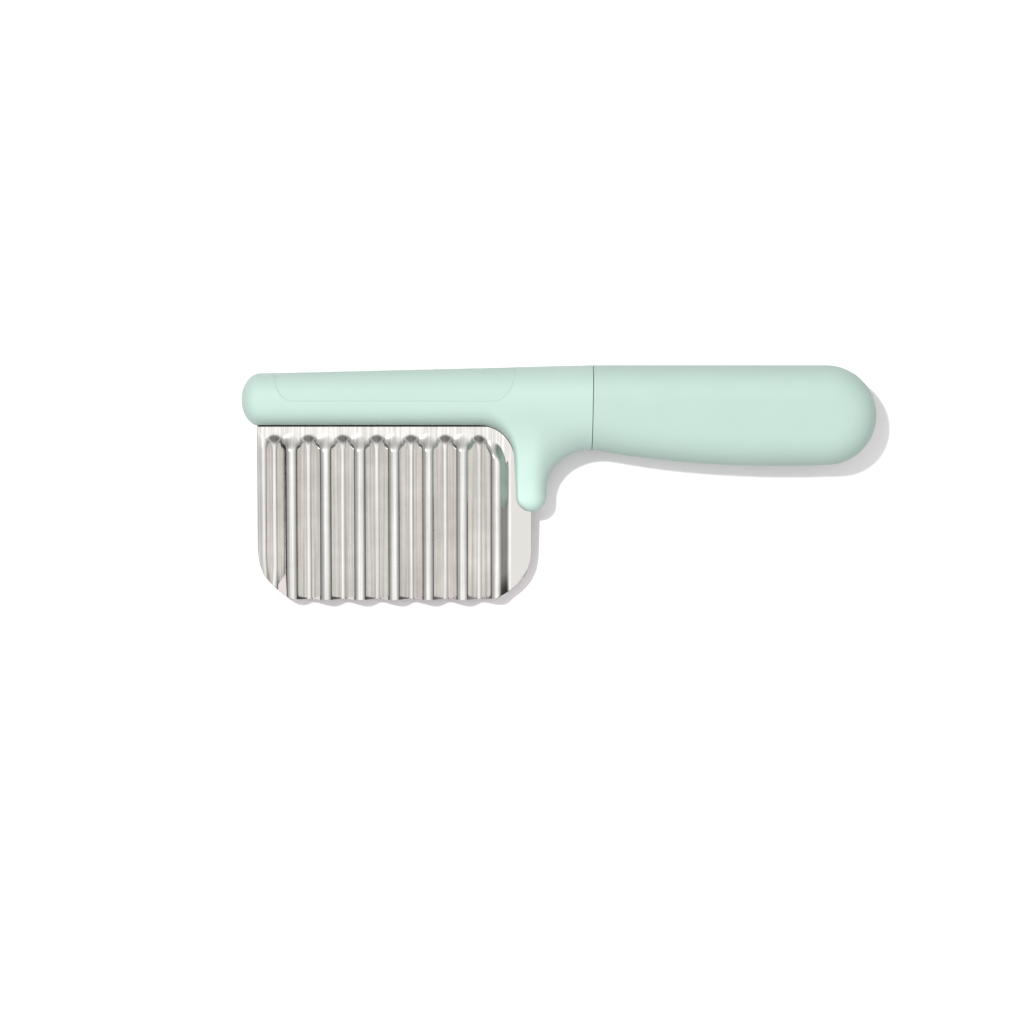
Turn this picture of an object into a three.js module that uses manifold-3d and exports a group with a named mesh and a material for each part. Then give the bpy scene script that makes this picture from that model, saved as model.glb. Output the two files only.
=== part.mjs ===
// Crinkle cutter: a fluted steel blade clamped between two hard half-shells with a finger guard,
// a soft saddle pad along the spine and a soft sleeve over the handle core.
// Millimetres. The tool lies on its side: +X runs from the nose to the end of the grip, +Y from the
// cutting edge to the spine, and +Z up from the surface that it lies on.
import * as THREE from "three";
import { mergeVertices } from "three/addons/utils/BufferGeometryUtils.js";
import Module from "manifold-3d";

const wasm = await Module();
wasm.setup();

// Driving dimensions of the outline
const BODY_LENGTH = 102.3; // nose to the seam between body and grip
const GRIP_LENGTH = 82.7; // seam to the end of the grip
const BLADE_DROP = 50.45; // cutting edge to the underside of the spine
const SPINE_NOSE_HEIGHT = 15.4; // spine height just behind the nose
const SPINE_RISE = 2.75; // how far the top line climbs from the nose to the seam
const NOSE_REACH = 4.5; // forward reach of the rounded nose
const NECK_DEPTH = 24.9; // top line to the hollow behind the guard
const GUARD_SETBACK = 18; // seam to the centre line of the finger guard
const GUARD_RADIUS = 4.45; // half the guard's width, and its tip radius
const GUARD_DROP = 24.8; // spine underside to the tip of the guard
const GUARD_FLARE = 0.3; // how much the front of the guard widens towards the spine
const FRONT_FILLET = 10.05; // corner between the spine's underside and the guard
const REAR_FILLET = 11.25; // finger hollow between the guard and the grip
const HOLLOW_TURN = 10; // degrees that the finger hollow turns past level before the grip
const GRIP_END_RADIUS = 14.7; // round end of the grip
const BELLY_LEAD = 22; // reach of the underside's curve from the seam
const BELLY_TAIL = 23; // reach of the underside's curve from the round end
const BELLY_SAG = 0.9; // how far that tail dips below the round end

// Driving dimensions of the thickness
const GRIP_THICKNESS = 21; // across the grip's flat sides
const SPINE_THICKNESS = 16.4; // across the spine
const GUARD_THICKNESS = 10.4; // across the finger guard
const GRIP_FLAT = 8.4; // width of the flat strip along each side of the grip
const CREST_RISE = 7.05; // spine underside to the middle of the crest along the spine
const CREST_HALF = 0.2; // half the width of that crest
const GUARD_CREST_HALF = 0.35; // half the width of the crest along the guard
const SIDE_FULLNESS = 0.2; // 0 gives the sides an elliptic section, and more gives a boxier one
const SWELL_START = 62; // where the spine starts to thicken, ahead of the seam
const SWELL_END = 14; // where the grip is at full thickness, behind the seam

// Walls and joints between the pieces
const BODY_WALL = 3; // hard shells ahead of the seam
const CORE_WALL = 2; // hard core under the sleeve
const SLEEVE_WALL = 3; // soft sleeve
const PAD_THICKNESS = 1.3; // soft pad
const PAD_RECESS = 0.2; // pad surface below the shell's surface
const FIT_GAP = 0.2; // between pieces that fit together
const SEAM_GAP = 0.3; // body to sleeve
const PARTING_GAP = 0.1; // between the half-shells
const PAD_NOSE_INSET = 9.1; // nose to the front end of the pad, along the top
const PAD_REAR_INSET = 22.6; // seam to the rear end of the pad, along the top
const PAD_BORDER_RISE = 7.55; // spine underside to the pad's long border
const PAD_FRONT_SWEEP = 5.5; // length of the border's rounded front corner
const PAD_REAR_SWEEP = 6.5; // length of the border's rounded rear corner

// Blade
const BLADE_WIDTH = 79.6; // front edge to rear edge
const BLADE_FRONT_CORNER = 14.7; // lower front corner radius
const BLADE_REAR_CORNER = 14.2; // lower rear corner radius
const BLADE_THICKNESS = 0.8; // sheet
const EDGE_THICKNESS = 0.2; // sheet at the cutting edge
const EDGE_BEVEL = 0.8; // height of the ground bevel
const FLUTE_PITCH = 9.95; // crest to crest
const FLUTE_DEPTH = 3.6; // crest to trough
const FLANK_TURN = 64; // degrees: near 0 a flute's flanks are a cosine's, and at 90 they are straight
const FLUTE_FRONT = 5.1; // front edge to the first trough
const FLUTE_REAR = 9.75; // most room from the last flute to the rear edge
const FLUTE_FADE = 3.3; // run from the outermost flutes to the flat margins
const FLUTE_END_MARGIN = 1.9; // strip under the spine
const FLUTE_END_RUN = 4.4; // length of a flute's rounded end
const FLUTE_FOOT = 0.3; // share of a flute's height over which it eases into the flat
const FLUTE_END_CORNER = 9; // the flute ends turn down along this radius near the guard
const FLUTE_CORNER_LEAD = 11.6; // where that turn starts, ahead of the guard
const FLANGE_DEPTH = 7.5; // flat flange inside the spine
const TANG_WIDTH = 7.4; // tongue inside the handle core
const TANG_REACH = 40; // how far the tongue runs past the seam

// Fasteners
const DOWEL_DIAMETER = 3;
const DOWEL_LENGTH = 10;
const DOWEL_CHAMFER = 0.4;
const DOWEL_COUNT = 4;
const DOWEL_SPACING = 24;
const DOWEL_SETBACK = 20; // seam to the rearmost dowel
const DOWEL_RISE = 3.85; // spine underside to the dowels
const SCREW_DIAMETER = 3;
const SCREW_HEAD_DIAMETER = 5.5;
const SCREW_HEAD_HEIGHT = 2;
const SCREW_LENGTH = 9; // under the head
const SCREW_POINT = 1.5; // tapered tip
const SCREW_SLOT = 0.8; // width of the cross recess
const SCREW_SLOT_DEPTH = 1;
const SCREW_HEAD_SINK = 0.6; // head top below the core's surface
const SCREW_FIRST = 12; // seam to the first screw
const SCREW_SPACING = 22;
const SCREW_COUNT = 3;
const BOSS_WALL = 2; // material round a dowel or a screw

// Facets and tolerances
const SIDE_RINGS = 5; // rings from the parting plane to the crest
const TURN_STEP = 15; // degrees to a chord of a round stretch of the outline
const RUN_STEP = 10; // length of a chord of a long stretch of the outline
const FLUTE_STEPS = 8; // grid lines to a flute pitch
const FADE_STEPS = 4; // grid lines across a fade to a flat margin
const END_STEPS = 9; // grid lines along the flutes' rounded ends
const ROUND_SIDES = 20; // sides of a round fastener
const CORNER_STEPS = 8; // chords to a quarter turn of a flat outline
const BEYOND = 400; // larger than the tool, for cutting planes
const TRIM = 1; // what the fluted sheet has to spare outside the blade's plan
const SLOPE_SPAN = 0.01; // half the distance over which the sheet's slope is taken
const SAME_POINT = 1e-5; // vertices nearer than this are one

// Places that follow from the driving dimensions. The seam is x = 0 and the cutting edge is y = 0.
const spineUnderside = BLADE_DROP;
const noseMiddle = spineUnderside + SPINE_NOSE_HEIGHT / 2;
const noseX = NOSE_REACH - BODY_LENGTH;
const gripTop = spineUnderside + SPINE_NOSE_HEIGHT + SPINE_RISE;
const gripEnd = new THREE.Vector2(GRIP_LENGTH - GRIP_END_RADIUS, gripTop - GRIP_END_RADIUS);
const gripRound = GRIP_END_RADIUS - GRIP_FLAT / 2;
const crestLow = spineUnderside + CREST_RISE - CREST_HALF;
const crestHigh = crestLow + 2 * CREST_HALF;
const guardTip = new THREE.Vector2(-GUARD_SETBACK, spineUnderside - GUARD_DROP + GUARD_RADIUS);
const guardFront = guardTip.x - GUARD_RADIUS - GUARD_FLARE;
const guardRear = guardTip.x + GUARD_RADIUS;
const frontFillet = new THREE.Vector2(guardFront - FRONT_FILLET, spineUnderside - FRONT_FILLET);
const hollowRadius = Math.min(REAR_FILLET, gripTop - NECK_DEPTH - guardTip.y);
const hollow = new THREE.Vector2(guardRear + hollowRadius, gripTop - NECK_DEPTH - hollowRadius);
const bladeRear = guardTip.x - GUARD_CREST_HALF;
const bladeFront = bladeRear - BLADE_WIDTH;
const flangeTop = spineUnderside + FLANGE_DEPTH;
const dowelY = spineUnderside + DOWEL_RISE;
const tangMiddle = flangeTop - TANG_WIDTH / 2;
const padFront = PAD_NOSE_INSET - BODY_LENGTH;
const padRear = -PAD_REAR_INSET;
const flankTurn = THREE.MathUtils.degToRad(FLANK_TURN);

const smooth = (low, high, value) => THREE.MathUtils.smoothstep(value, low, high);
const point = (x, y) => new THREE.Vector2(x, y);
const line = (x0, y0, x1, y1) => new THREE.LineCurve(point(x0, y0), point(x1, y1));
const chords = (degrees, length) => Math.ceil(Math.max(degrees / TURN_STEP, length / RUN_STEP));
const turn = (centre, rx, ry, from, to) =>
  new THREE.EllipseCurve(
    centre.x,
    centre.y,
    rx,
    ry,
    THREE.MathUtils.degToRad(from),
    THREE.MathUtils.degToRad(to),
    to < from,
  );

// The silhouette of body and grip, anticlockwise from the top of the nose. Each stretch pairs the rim,
// which lies in the parting plane, with the crest that it rises to on each side.
function silhouette() {
  const nose = point(noseX, noseMiddle);
  const guardCrestFront = guardTip.x - GUARD_CREST_HALF;
  const guardCrestRear = guardTip.x + GUARD_CREST_HALF;
  const hollowEnd = 90 - HOLLOW_TURN;
  const rimSeam = turn(hollow, hollowRadius, hollowRadius, 180, hollowEnd).getPoint(1);
  const crestRise = gripTop - NECK_DEPTH + gripRound - hollow.y;
  const hollowCrest = turn(hollow, hollow.x - guardCrestRear, crestRise, 180, hollowEnd);
  const crestSeam = hollowCrest.getPoint(1);
  const drop = BELLY_LEAD * Math.tan(THREE.MathUtils.degToRad(HOLLOW_TURN));
  const endBottom = gripEnd.y - GRIP_END_RADIUS;
  const crestTop = gripTop - gripRound;
  const spineLength = frontFillet.x - noseX;
  const padRearTop = gripTop - (SPINE_RISE * padRear) / noseX;
  const belly = (start, endY) =>
    new THREE.CubicBezierCurve(
      start,
      point(start.x + BELLY_LEAD, start.y - drop),
      point(gripEnd.x - BELLY_TAIL, endY - BELLY_SAG),
      point(gripEnd.x, endY),
    );
  return [
    {
      rim: turn(nose, NOSE_REACH, SPINE_NOSE_HEIGHT / 2, 90, 270),
      crest: turn(point(noseX, crestLow + CREST_HALF), CREST_HALF, CREST_HALF, 90, 270),
      steps: chords(180, 0),
    },
    {
      rim: line(noseX, spineUnderside, frontFillet.x, spineUnderside),
      crest: line(noseX, crestLow, frontFillet.x, crestLow),
      steps: chords(0, spineLength),
    },
    {
      rim: turn(frontFillet, FRONT_FILLET, FRONT_FILLET, 90, 0),
      crest: turn(frontFillet, guardCrestFront - frontFillet.x, crestLow - frontFillet.y, 90, 0),
      steps: chords(90, 0),
    },
    {
      rim: line(guardFront, frontFillet.y, guardTip.x - GUARD_RADIUS, guardTip.y),
      crest: line(guardCrestFront, frontFillet.y, guardCrestFront, guardTip.y),
      steps: chords(0, frontFillet.y - guardTip.y),
    },
    {
      rim: turn(guardTip, GUARD_RADIUS, GUARD_RADIUS, 180, 360),
      crest: turn(guardTip, GUARD_CREST_HALF, GUARD_CREST_HALF, 180, 360),
      steps: chords(180, 0),
    },
    {
      rim: line(guardRear, guardTip.y, guardRear, hollow.y),
      crest: line(guardCrestRear, guardTip.y, guardCrestRear, hollow.y),
      steps: chords(0, hollow.y - guardTip.y),
    },
    {
      rim: turn(hollow, hollowRadius, hollowRadius, 180, hollowEnd),
      crest: hollowCrest,
      steps: chords(180 - hollowEnd, 0),
    },
    {
      rim: belly(rimSeam, endBottom),
      crest: belly(crestSeam, endBottom + gripRound),
      steps: chords(0, gripEnd.x - rimSeam.x),
    },
    {
      rim: turn(gripEnd, GRIP_END_RADIUS, GRIP_END_RADIUS, -90, 90),
      crest: turn(gripEnd, GRIP_FLAT / 2, GRIP_FLAT / 2, -90, 90),
      steps: chords(180, 0),
    },
    {
      rim: line(gripEnd.x, gripTop, 0, gripTop),
      crest: line(gripEnd.x, crestTop, 0, crestTop),
      steps: chords(0, gripEnd.x),
    },
    {
      rim: line(0, gripTop, padRear, padRearTop),
      crest: line(0, crestTop, padRear, crestHigh),
      steps: chords(0, -padRear),
    },
    {
      rim: line(padRear, padRearTop, noseX, spineUnderside + SPINE_NOSE_HEIGHT),
      crest: line(padRear, crestHigh, noseX, crestHigh),
      steps: chords(0, padRear - noseX),
    },
  ];
}

// Half the thickness of the tool over a point of the parting plane: the spine swells into the grip, and
// thins downwards into the guard.
function crestHeight({ x, y }) {
  const swell = smooth(-SWELL_START, SWELL_END, x);
  const handle = THREE.MathUtils.lerp(SPINE_THICKNESS, GRIP_THICKNESS, swell) / 2;
  const nearGuard = smooth(frontFillet.x, guardFront, x) * (1 - smooth(guardRear, SWELL_END, x));
  const belowSpine = 1 - smooth(guardTip.y, crestLow, y);
  return THREE.MathUtils.lerp(handle, GUARD_THICKNESS / 2, nearGuard * belowSpine);
}

// A boolean operand made from a closed three.js geometry.
function solid(geometry) {
  const bare = geometry.clone();
  for (const name of Object.keys(bare.attributes)) {
    if (name !== "position") bare.deleteAttribute(name);
  }
  const merged = mergeVertices(bare, SAME_POINT);
  const vertProperties = new Float32Array(merged.attributes.position.array);
  const triVerts = new Uint32Array(merged.index.array);
  return new wasm.Manifold(new wasm.Mesh({ numProp: 3, vertProperties, triVerts }));
}

function geometryOf(manifold) {
  const { vertProperties, triVerts } = manifold.getMesh();
  const geometry = new THREE.BufferGeometry();
  geometry.setAttribute("position", new THREE.BufferAttribute(vertProperties, 3));
  geometry.setIndex(new THREE.BufferAttribute(triVerts, 1));
  geometry.computeVertexNormals();
  return geometry;
}

const box = (x0, x1, y0, y1, z0, z1) =>
  solid(
    new THREE.BoxGeometry(x1 - x0, y1 - y0, z1 - z0).translate(
      (x0 + x1) / 2,
      (y0 + y1) / 2,
      (z0 + z1) / 2,
    ),
  );
const aheadOf = (x) => box(-BEYOND, x, -BEYOND, BEYOND, -BEYOND, BEYOND);
const behind = (x) => box(x, BEYOND, -BEYOND, BEYOND, -BEYOND, BEYOND);
const over = (y) => box(-BEYOND, BEYOND, y, BEYOND, -BEYOND, BEYOND);

const roundBar = (radius, x, y, z0, z1) =>
  solid(
    new THREE.CylinderGeometry(radius, radius, z1 - z0, ROUND_SIDES)
      .rotateX(Math.PI / 2)
      .translate(x, y, (z0 + z1) / 2),
  );

const plate = (shape, z0, z1, curveSegments = CORNER_STEPS) =>
  solid(
    new THREE.ExtrudeGeometry(shape, {
      depth: z1 - z0,
      bevelEnabled: false,
      curveSegments,
    }).translate(0, 0, z0),
  );

// The rounded form of body and grip, drawn in from the surface by an even inset.
function pillow(inset) {
  const rim = [];
  const crest = [];
  for (const stretch of silhouette()) {
    for (let step = 0; step < stretch.steps; step += 1) {
      const top = stretch.crest.getPoint(step / stretch.steps);
      const foot = stretch.rim.getPoint(step / stretch.steps);
      const inward = top.clone().sub(foot).setLength(inset);
      rim.push(foot.add(inward));
      crest.push(top);
    }
  }
  const count = rim.length;
  const positions = [];
  const triangles = [];
  for (let ring = -SIDE_RINGS; ring <= SIDE_RINGS; ring += 1) {
    const angle = ((ring / SIDE_RINGS) * Math.PI) / 2;
    for (let i = 0; i < count; i += 1) {
      const at = rim[i].clone().lerp(crest[i], 1 - Math.cos(angle) ** (1 - SIDE_FULLNESS));
      const height = (crestHeight(at) - inset) * Math.abs(Math.sin(angle)) ** (1 - SIDE_FULLNESS);
      positions.push(at.x, at.y, Math.sign(ring) * height);
    }
  }
  for (let ring = 0; ring < 2 * SIDE_RINGS; ring += 1) {
    for (let i = 0; i < count; i += 1) {
      const next = (i + 1) % count;
      const low = ring * count;
      const high = low + count;
      triangles.push(low + i, low + next, high + next);
      triangles.push(low + i, high + next, high + i);
    }
  }
  const cap = 2 * SIDE_RINGS * count;
  const places = Array.from(crest.keys());
  const flat = places.filter((i) => crest[i].x >= SWELL_END);
  const swollen = places.filter((i) => i <= flat[0] || i >= flat.at(-1));
  for (const loop of [flat, swollen]) {
    const outline = loop.map((i) => crest[i]);
    for (const face of THREE.ShapeUtils.triangulateShape(outline, [])) {
      const [a, b, c] = face.map((i) => loop[i]);
      triangles.push(cap + a, cap + b, cap + c);
      triangles.push(c, b, a);
    }
  }
  const geometry = new THREE.BufferGeometry();
  geometry.setAttribute("position", new THREE.Float32BufferAttribute(positions, 3));
  geometry.setIndex(triangles);
  return solid(geometry);
}

// Everything above the pad's border, through the whole thickness.
function padRegion(grow) {
  const front = padFront - grow;
  const rear = padRear + grow;
  const border = spineUnderside + PAD_BORDER_RISE - grow;
  const cornerRise = gripTop - border;
  const shape = new THREE.Shape();
  shape.moveTo(front, gripTop + BLADE_DROP);
  shape.lineTo(front, gripTop);
  shape.absellipse(
    front + PAD_FRONT_SWEEP,
    gripTop,
    PAD_FRONT_SWEEP,
    cornerRise,
    Math.PI,
    1.5 * Math.PI,
  );
  shape.lineTo(rear - PAD_REAR_SWEEP, border);
  shape.absellipse(rear - PAD_REAR_SWEEP, gripTop, PAD_REAR_SWEEP, cornerRise, 1.5 * Math.PI, 2 * Math.PI);
  shape.lineTo(rear, gripTop + BLADE_DROP);
  return plate(shape, -GRIP_THICKNESS, GRIP_THICKNESS);
}

// The blade's plan with its flange and tongue. The cutting edge stays in place as the rest grows.
function bladeShape(grow) {
  const front = bladeFront - grow;
  const rear = bladeRear + grow;
  const frontRound = BLADE_FRONT_CORNER + grow;
  const rearRound = BLADE_REAR_CORNER + grow;
  const tangRadius = TANG_WIDTH / 2 + grow;
  const tangEnd = TANG_REACH - TANG_WIDTH / 2;
  const shape = new THREE.Shape();
  shape.moveTo(front, flangeTop + grow);
  shape.lineTo(front, frontRound);
  shape.absarc(front + frontRound, frontRound, frontRound, Math.PI, 1.5 * Math.PI);
  shape.lineTo(rear - rearRound, 0);
  shape.absarc(rear - rearRound, rearRound, rearRound, 1.5 * Math.PI, 2 * Math.PI);
  shape.lineTo(rear, tangMiddle - tangRadius);
  shape.lineTo(tangEnd, tangMiddle - tangRadius);
  shape.absarc(tangEnd, tangMiddle, tangRadius, -0.5 * Math.PI, 0.5 * Math.PI);
  return shape;
}

// Flutes lie half a pitch apart, by turns a trough and a crest, from the first trough on.
const halfPitch = FLUTE_PITCH / 2;
const quarterPitch = FLUTE_PITCH / 4;
const firstTrough = bladeFront + FLUTE_FRONT;
const lastPlace = Math.floor((BLADE_WIDTH - FLUTE_FRONT - FLUTE_REAR) / halfPitch);
const lastFlute = firstTrough + lastPlace * halfPitch;
const cornerStart = guardFront - FLUTE_CORNER_LEAD;

// Where the flute at x starts to round off: level under the spine, lower towards the guard.
function fluteEnd(x) {
  const along = THREE.MathUtils.clamp(x - cornerStart, 0, FLUTE_END_CORNER);
  const fall = FLUTE_END_CORNER - Math.sqrt(FLUTE_END_CORNER ** 2 - along ** 2);
  return spineUnderside - FLUTE_END_MARGIN - FLUTE_END_RUN - fall;
}

// A flute's share of its height at a distance from its centre line, falling on below nought past its foot.
function flank(distance) {
  const angle = ((Math.PI / 2) * distance) / quarterPitch;
  const steepest = Math.sin(flankTurn) / flankTurn;
  if (angle > Math.PI / 2) return steepest * (Math.PI / 2 - angle);
  return Math.asin(Math.sin(flankTurn) * Math.cos(angle)) / flankTurn;
}

// What stays above nought of a share, eased over the foot's height on either side.
function eased(share, foot) {
  if (share >= foot) return share;
  if (share <= -foot) return 0;
  return (share + foot) ** 2 / (4 * foot);
}

// The share of its height that the flute at one place, counted in half pitches, has at a point.
function fluteShare(place, x, y) {
  const centre = firstTrough + place * halfPitch;
  const outside = (place === 0 && x < centre) || (place === lastPlace && x > centre);
  const across = Math.abs(x - centre) * (outside ? quarterPitch / FLUTE_FADE : 1);
  const past = Math.max(y - fluteEnd(centre), 0) * (quarterPitch / FLUTE_END_RUN);
  const foot = FLUTE_FOOT * (outside ? 1 : smooth(0, quarterPitch / 2, past));
  return eased(flank(Math.hypot(across, past)), foot);
}

// Height of the sheet's middle surface: round-ended flutes that ease into flat margins.
function fluteHeight(x, y) {
  const before = Math.floor((x - firstTrough) / halfPitch);
  let height = 0;
  for (const place of [before, before + 1]) {
    if (place < 0 || place > lastPlace) continue;
    height += (FLUTE_DEPTH / 2) * fluteShare(place, x, y) * (place % 2 === 0 ? -1 : 1);
  }
  return height;
}

function sheetPoint(x, y, side) {
  const span = 2 * SLOPE_SPAN;
  const dx = (fluteHeight(x + SLOPE_SPAN, y) - fluteHeight(x - SLOPE_SPAN, y)) / span;
  const dy = (fluteHeight(x, y + SLOPE_SPAN) - fluteHeight(x, y - SLOPE_SPAN)) / span;
  const sharp = THREE.MathUtils.clamp(y / EDGE_BEVEL, 0, 1);
  const half = THREE.MathUtils.lerp(EDGE_THICKNESS, BLADE_THICKNESS, sharp) / 2;
  const normal = new THREE.Vector3(-dx, y > EDGE_BEVEL ? -dy : 0, 1).setLength(half * side);
  return normal.add(new THREE.Vector3(x, y, fluteHeight(x, y)));
}

function blade() {
  const fade = FLUTE_FADE * (1 + FLUTE_FOOT);
  const columns = [bladeFront - TRIM];
  for (let i = 0; i < FADE_STEPS; i += 1) columns.push(firstTrough - fade * (1 - i / FADE_STEPS));
  const waveSteps = (lastPlace * FLUTE_STEPS) / 2;
  for (let i = 0; i <= waveSteps; i += 1) {
    columns.push(firstTrough + ((lastFlute - firstTrough) * i) / waveSteps);
  }
  for (let i = 1; i <= FADE_STEPS; i += 1) columns.push(lastFlute + (fade * i) / FADE_STEPS);
  columns.push(bladeRear, TANG_REACH + TRIM);

  const lowest = fluteEnd(lastFlute);
  const rows = [0, EDGE_BEVEL, lowest];
  for (let i = 1; i <= END_STEPS; i += 1) rows.push(lowest + ((spineUnderside - lowest) * i) / END_STEPS);
  rows.push(flangeTop + TRIM);

  const positions = [];
  const triangles = [];
  const across = columns.length;
  const layer = across * rows.length;
  for (const side of [-1, 1]) {
    for (const y of rows) {
      for (const x of columns) positions.push(...sheetPoint(x, y, side).toArray());
    }
  }
  const quad = (a, b, c, d) => triangles.push(a, b, c, a, c, d);
  for (let j = 0; j + 1 < rows.length; j += 1) {
    for (let i = 0; i + 1 < across; i += 1) {
      const a = j * across + i;
      quad(layer + a, layer + a + 1, layer + a + 1 + across, layer + a + across);
      quad(a + across, a + across + 1, a + 1, a);
    }
    const left = j * across;
    const right = left + across - 1;
    quad(left, layer + left, layer + left + across, left + across);
    quad(right, right + across, layer + right + across, layer + right);
  }
  const top = layer - across;
  for (let i = 0; i + 1 < across; i += 1) {
    quad(i, i + 1, layer + i + 1, layer + i);
    quad(top + i + 1, top + i, layer + top + i, layer + top + i + 1);
  }
  const geometry = new THREE.BufferGeometry();
  geometry.setAttribute("position", new THREE.Float32BufferAttribute(positions, 3));
  geometry.setIndex(triangles);
  let made = solid(geometry).intersect(plate(bladeShape(0), -FLUTE_DEPTH, FLUTE_DEPTH));
  for (const x of dowelPlaces) {
    made = made.subtract(roundBar(DOWEL_DIAMETER / 2 + FIT_GAP, x, dowelY, -FLUTE_DEPTH, FLUTE_DEPTH));
  }
  for (const x of screwPlaces) {
    made = made.subtract(roundBar(SCREW_DIAMETER / 2 + FIT_GAP, x, tangMiddle, -FLUTE_DEPTH, FLUTE_DEPTH));
  }
  return made;
}

const dowelPlaces = Array.from({ length: DOWEL_COUNT }, (_, i) => -DOWEL_SETBACK - i * DOWEL_SPACING);
const screwPlaces = Array.from({ length: SCREW_COUNT }, (_, i) => SCREW_FIRST + i * SCREW_SPACING);

// The core's surface, which the screw heads sink below on the back.
const coreInset = SLEEVE_WALL + FIT_GAP;
const screwHeadTop = coreInset + SCREW_HEAD_SINK - GRIP_THICKNESS / 2;
const screwShoulder = screwHeadTop + SCREW_HEAD_HEIGHT;
const screwTip = screwShoulder + SCREW_LENGTH;

// One hard half-shell: half the spine, neck and guard, and half the handle core. Side is 1 or -1.
function halfShell(side) {
  const body = pillow(0).intersect(aheadOf(-SEAM_GAP / 2));
  const core = pillow(coreInset).intersect(behind(-BODY_WALL));
  const hollowBody = pillow(BODY_WALL).intersect(aheadOf(-BODY_WALL)).intersect(over(frontFillet.y));
  const hollowCore = pillow(coreInset + CORE_WALL).intersect(behind(-BODY_WALL - FIT_GAP));
  let shell = body.add(core).subtract(hollowBody).subtract(hollowCore);

  const dowelBore = DOWEL_DIAMETER / 2 + FIT_GAP;
  const screwBore = SCREW_DIAMETER / 2 + FIT_GAP;
  const headBore = SCREW_HEAD_DIAMETER / 2 + FIT_GAP;
  const reach = GRIP_THICKNESS / 2;
  const inBody = pillow(BODY_WALL / 2).intersect(aheadOf(-SEAM_GAP));
  const inCore = pillow(coreInset + CORE_WALL / 2);
  for (const x of dowelPlaces) {
    shell = shell.add(roundBar(dowelBore + BOSS_WALL, x, dowelY, -reach, reach).intersect(inBody));
  }
  for (const x of screwPlaces) {
    shell = shell.add(roundBar(headBore + BOSS_WALL, x, tangMiddle, -reach, reach).intersect(inCore));
  }

  const padSeat = pillow(PAD_RECESS + PAD_THICKNESS + FIT_GAP);
  shell = shell.subtract(padRegion(FIT_GAP).subtract(padSeat));
  const slot = BLADE_THICKNESS / 2 + FIT_GAP;
  shell = shell.subtract(plate(bladeShape(FIT_GAP), -slot, slot));
  const socket = DOWEL_LENGTH / 2 + FIT_GAP;
  for (const x of dowelPlaces) shell = shell.subtract(roundBar(dowelBore, x, dowelY, -socket, socket));
  for (const x of screwPlaces) {
    shell = shell.subtract(roundBar(screwBore, x, tangMiddle, -reach, screwTip + FIT_GAP));
    shell = shell.subtract(roundBar(headBore, x, tangMiddle, -reach, screwShoulder + FIT_GAP));
  }
  const face = PARTING_GAP / 2;
  const [low, high] = side > 0 ? [face, BEYOND] : [-BEYOND, -face];
  return shell.intersect(box(-BEYOND, BEYOND, -BEYOND, BEYOND, low, high));
}

function spinePad() {
  const skin = pillow(PAD_RECESS).subtract(pillow(PAD_RECESS + PAD_THICKNESS));
  return skin.intersect(padRegion(0));
}

function gripSleeve() {
  return pillow(0)
    .intersect(behind(SEAM_GAP / 2))
    .subtract(pillow(SLEEVE_WALL).intersect(behind(-SEAM_GAP)));
}

function turned(profile) {
  const points = profile.map(([radius, height]) => point(radius, height));
  return new THREE.LatheGeometry(points, ROUND_SIDES).rotateX(Math.PI / 2);
}

function dowel(x) {
  const radius = DOWEL_DIAMETER / 2;
  const end = DOWEL_LENGTH / 2;
  const profile = [
    [0, -end],
    [radius - DOWEL_CHAMFER, -end],
    [radius, DOWEL_CHAMFER - end],
    [radius, end - DOWEL_CHAMFER],
    [radius - DOWEL_CHAMFER, end],
    [0, end],
  ];
  return solid(turned(profile)).translate([x, dowelY, 0]);
}

function screw(x) {
  const radius = SCREW_DIAMETER / 2;
  const head = SCREW_HEAD_DIAMETER / 2;
  const profile = [
    [0, screwHeadTop],
    [head, screwHeadTop],
    [head, screwShoulder],
    [radius, screwShoulder],
    [radius, screwTip - SCREW_POINT],
    [0, screwTip],
  ];
  const half = SCREW_SLOT / 2;
  const arm = radius;
  const floor = screwHeadTop + SCREW_SLOT_DEPTH;
  const cross = box(-arm, arm, -half, half, -BEYOND, floor).add(
    box(-half, half, -arm, arm, -BEYOND, floor),
  );
  return solid(turned(profile)).subtract(cross).translate([x, tangMiddle, 0]);
}

const hardPlastic = { color: 0xd3ede4, roughness: 0.42, metalness: 0 };
const softRubber = { color: 0xcee8dd, roughness: 0.75, metalness: 0 };
const bladeSteel = { color: 0xd8d6d2, roughness: 0.18, metalness: 1 };
const fastenerSteel = { color: 0xb4b6b8, roughness: 0.35, metalness: 1 };

const tool = new THREE.Group();
function place(name, manifold, finish) {
  const mesh = new THREE.Mesh(geometryOf(manifold), new THREE.MeshStandardMaterial(finish));
  mesh.name = name;
  tool.add(mesh);
}

place("blade", blade(), bladeSteel);
place("front_body_shell", halfShell(1), hardPlastic);
place("back_body_shell", halfShell(-1), hardPlastic);
place("spine_pad", spinePad(), softRubber);
place("grip_sleeve", gripSleeve(), softRubber);
dowelPlaces.forEach((x, i) => place(`blade_dowel_${i + 1}`, dowel(x), fastenerSteel));
screwPlaces.forEach((x, i) => place(`core_screw_${i + 1}`, screw(x), fastenerSteel));

// The origin is under the middle of the tool, on the surface that it lies on.
tool.position.set((BODY_LENGTH - GRIP_LENGTH) / 2, -gripTop / 2, GRIP_THICKNESS / 2);
const crinkleCutter = new THREE.Group();
crinkleCutter.add(tool);

export default crinkleCutter;
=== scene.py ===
import math
from collections import namedtuple

import bmesh
import bpy
from mathutils import Matrix, Vector
from mathutils.geometry import interpolate_bezier


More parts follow.
